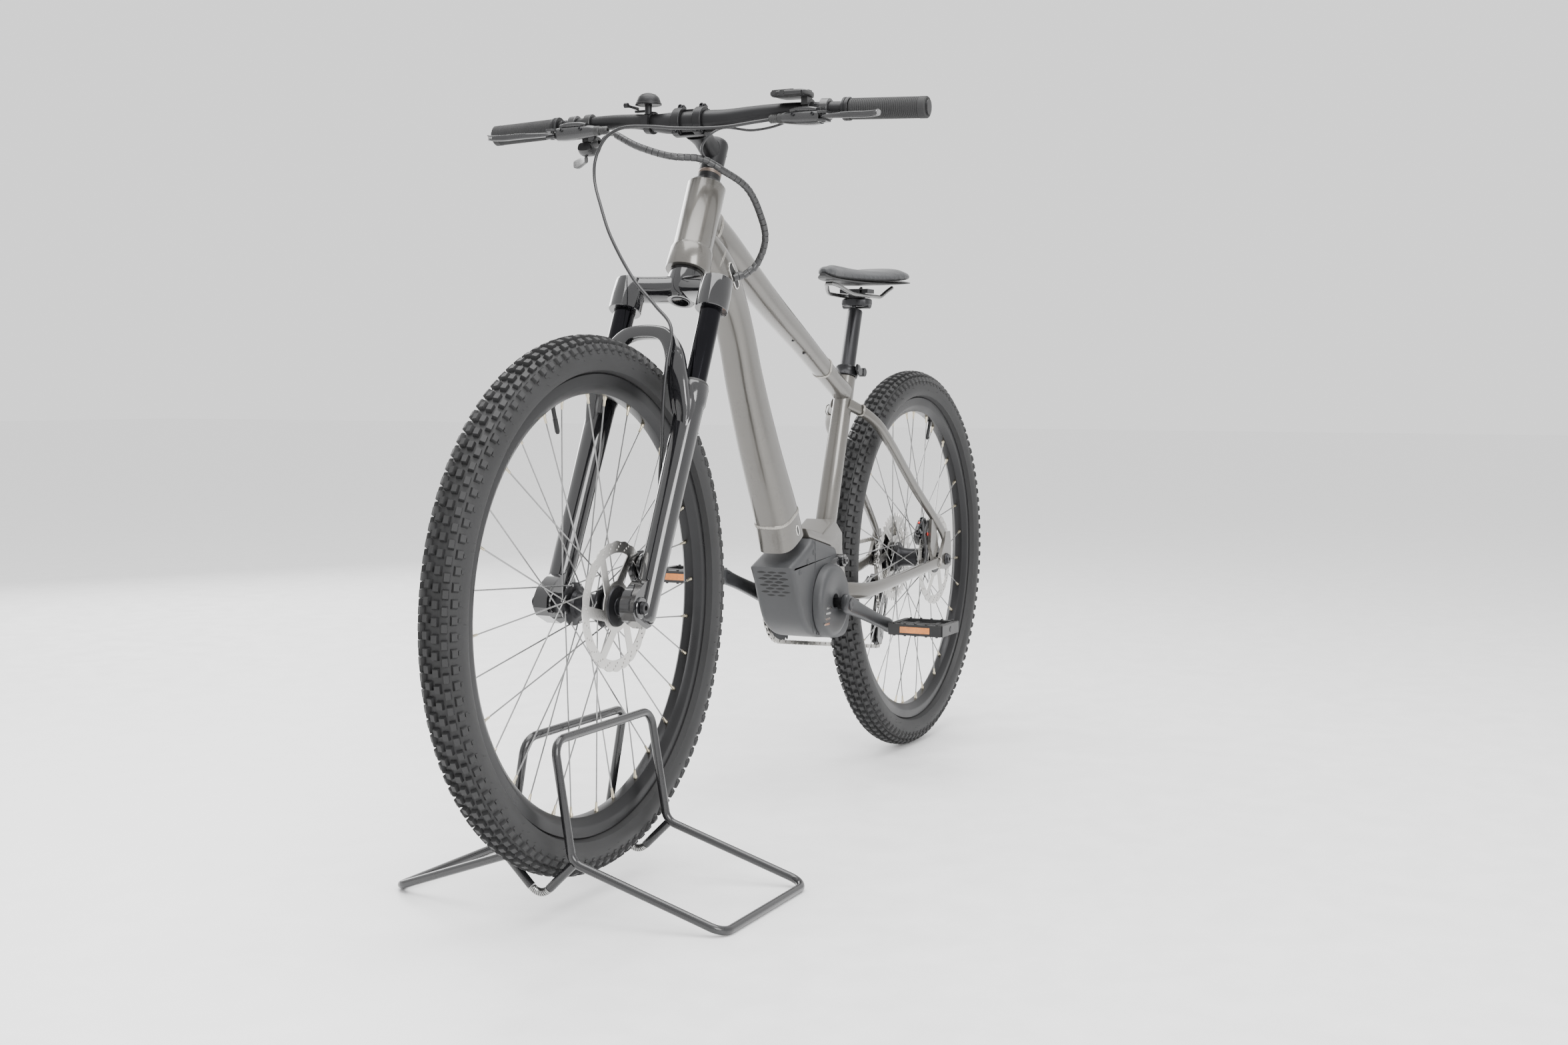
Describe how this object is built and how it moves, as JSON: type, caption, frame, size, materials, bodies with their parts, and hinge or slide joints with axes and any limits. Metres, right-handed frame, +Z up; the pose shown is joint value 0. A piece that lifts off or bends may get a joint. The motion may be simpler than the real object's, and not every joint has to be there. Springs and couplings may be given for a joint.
{
  "type": "electric mountain bicycle on a display stand",
  "caption": "Hardtail electric mountain bicycle with a suspension fork, disc brakes and knobbly tyres, its front wheel held upright by a sprung wire floor stand.",
  "frame": {"origin": "on the floor, midway between the two wheel axles and in the bicycle's middle plane", "axes": "+X the way the bicycle rides, +Y to its left, +Z up"},
  "size_m": [1.961, 0.7376, 1.1449],
  "materials": {
    "frame_paint": "warm grey metallic paint under clear coat",
    "gloss_black": "gloss black",
    "satin_black": "satin black",
    "matte_black": "matte moulded plastic",
    "black_plastic": "semi-gloss moulded plastic",
    "tyre": "matte tread rubber",
    "grip_rubber": "ribbed rubber",
    "hose": "satin black casing",
    "steel": "brushed stainless",
    "chain_steel": "nickel plated",
    "hub_metal": "anodised black hub with steel spokes",
    "spring_steel": "close-coiled wire",
    "saddle_vinyl": "grained dark vinyl"
  },
  "bodies": {
    "stand_and_fork_lowers": {"stand_left_loop": "gloss_black", "stand_right_loop": "gloss_black", "stand_front_spring": "spring_steel", "stand_rear_spring": "spring_steel", "fork_lowers": "gloss_black", "front_axle": "satin_black", "front_caliper": "gloss_black"},
    "front_wheel": {"front_tyre": "tyre", "front_rim": "satin_black", "front_hub_and_spokes": "hub_metal", "front_rotor": "steel"},
    "cockpit": {"fork_crown": "gloss_black", "left_stanchion": "gloss_black", "right_stanchion": "gloss_black", "headset_spacers": "satin_black", "stem": "satin_black", "stem_faceplate": "satin_black", "handlebar": "satin_black", "left_grip": "grip_rubber", "right_grip": "grip_rubber", "left_brake_master": "satin_black", "right_brake_master": "satin_black", "shifter_body": "black_plastic", "display_unit": "black_plastic", "bell": "satin_black", "front_brake_hose": "hose"},
    "left_brake": {"left_brake_lever": "satin_black"},
    "right_brake": {"right_brake_lever": "satin_black"},
    "shifter_lever": {"shift_paddle": "black_plastic"},
    "bell_hammer": {"bell_striker": "satin_black"},
    "display_key": {"display_button": "matte_black"},
    "main_frame": {"frame": "frame_paint", "motor_unit": "matte_black", "motor_cover": "matte_black", "seat_clamp": "satin_black", "rear_caliper": "gloss_black", "rear_axle": "satin_black", "rear_derailleur": "satin_black", "chain": "chain_steel", "control_cables": "hose"},
    "clamp_lever": {"seat_clamp_lever": "satin_black"},
    "saddle": {"seatpost": "satin_black", "saddle_clamp": "satin_black", "saddle_rails": "satin_black", "saddle_pad": "saddle_vinyl", "saddle_shell": "matte_black"},
    "crankset": {"left_crank": "satin_black", "right_crank": "satin_black", "chainring": "satin_black", "crank_axle": "steel"},
    "left_pedal_body": {"left_pedal": "black_plastic"},
    "right_pedal_body": {"right_pedal": "black_plastic"},
    "rear_wheel": {"rear_tyre": "tyre", "rear_rim": "satin_black", "rear_hub_and_spokes": "hub_metal", "rear_rotor": "steel"},
    "sprockets": {"cassette": "steel"},
    "guide_wheel": {"guide_jockey": "matte_black"},
    "tension_wheel": {"tension_jockey": "matte_black"}
  },
  "joints": [
    {"name": "front_wheel_spin", "type": "hinge", "parent": "stand_and_fork_lowers", "child": "front_wheel", "pos_m": [0.6105, 0, 0.405], "axis": [0, 1, 0], "continuous": true},
    {"name": "fork_travel", "type": "slide", "parent": "stand_and_fork_lowers", "child": "cockpit", "axis": [0.4305, 0, -0.9026], "range_m": [0, 0.11], "stiffness_N_per_m": 4000, "springref_m": -0.08, "deforming": ["front_brake_hose"]},
    {"name": "steering", "type": "hinge", "parent": "cockpit", "child": "main_frame", "pos_m": [0.3265, 0, 0.875], "axis": [-0.4305, 0, 0.9026], "range_deg": [-40, 40], "deforming": ["control_cables"]},
    {"name": "left_brake_pull", "type": "hinge", "parent": "cockpit", "child": "left_brake", "pos_m": [0.3338, 0.224, 1.0899], "axis": [0, 0, 1], "range_deg": [0, 18], "stiffness_Nm_per_rad": 2},
    {"name": "right_brake_pull", "type": "hinge", "parent": "cockpit", "child": "right_brake", "pos_m": [0.3338, -0.224, 1.0899], "axis": [0, 0, -1], "range_deg": [0, 18], "stiffness_Nm_per_rad": 2},
    {"name": "shift_push", "type": "hinge", "parent": "cockpit", "child": "shifter_lever", "pos_m": [0.3008, -0.19, 1.0535], "axis": [0, 0, 1], "range_deg": [0, 18], "stiffness_Nm_per_rad": 1},
    {"name": "bell_flick", "type": "hinge", "parent": "cockpit", "child": "bell_hammer", "pos_m": [0.3108, -0.093, 1.1244], "axis": [0, 0, -1], "range_deg": [0, 18], "stiffness_Nm_per_rad": 0.2},
    {"name": "display_press", "type": "slide", "parent": "cockpit", "child": "display_key", "axis": [0, 0, -1], "range_m": [0, 0.0015], "stiffness_N_per_m": 2000, "springref_m": -0.0005},
    {"name": "clamp_lever_turn", "type": "hinge", "parent": "main_frame", "child": "clamp_lever", "pos_m": [-0.31068, 0.02, 0.7328], "axis": [0, -1, 0], "range_deg": [0, 150]},
    {"name": "seatpost_height", "type": "slide", "parent": "main_frame", "child": "saddle", "axis": [-0.3223, 0, 0.9466], "range_m": [-0.015, 0.07]},
    {"name": "crank_turn", "type": "hinge", "parent": "main_frame", "child": "crankset", "pos_m": [-0.1255, 0, 0.332], "axis": [0, 1, 0], "continuous": true},
    {"name": "left_pedal_turn", "type": "hinge", "parent": "crankset", "child": "left_pedal_body", "pos_m": [-0.28624, 0.1, 0.27665], "axis": [0, 1, 0], "continuous": true},
    {"name": "right_pedal_turn", "type": "hinge", "parent": "crankset", "child": "right_pedal_body", "pos_m": [0.03524, -0.1, 0.38735], "axis": [0, 1, 0], "continuous": true},
    {"name": "rear_wheel_spin", "type": "hinge", "parent": "main_frame", "child": "rear_wheel", "pos_m": [-0.6105, 0, 0.37], "axis": [0, 1, 0], "continuous": true},
    {"name": "sprocket_turn", "type": "hinge", "parent": "main_frame", "child": "sprockets", "pos_m": [-0.6105, 0, 0.37], "axis": [0, 1, 0], "continuous": true},
    {"name": "guide_wheel_turn", "type": "hinge", "parent": "main_frame", "child": "guide_wheel", "pos_m": [-0.598, 0, 0.301], "axis": [0, 1, 0], "continuous": true},
    {"name": "tension_wheel_turn", "type": "hinge", "parent": "main_frame", "child": "tension_wheel", "pos_m": [-0.572, 0, 0.216], "axis": [0, 1, 0], "continuous": true}
  ],
  "couplings": [
    {"joint": "sprocket_turn", "follows": "crank_turn", "ratio": 1.8},
    {"joint": "guide_wheel_turn", "follows": "crank_turn", "ratio": -3.2727},
    {"joint": "tension_wheel_turn", "follows": "crank_turn", "ratio": 3.2727}
  ]
}
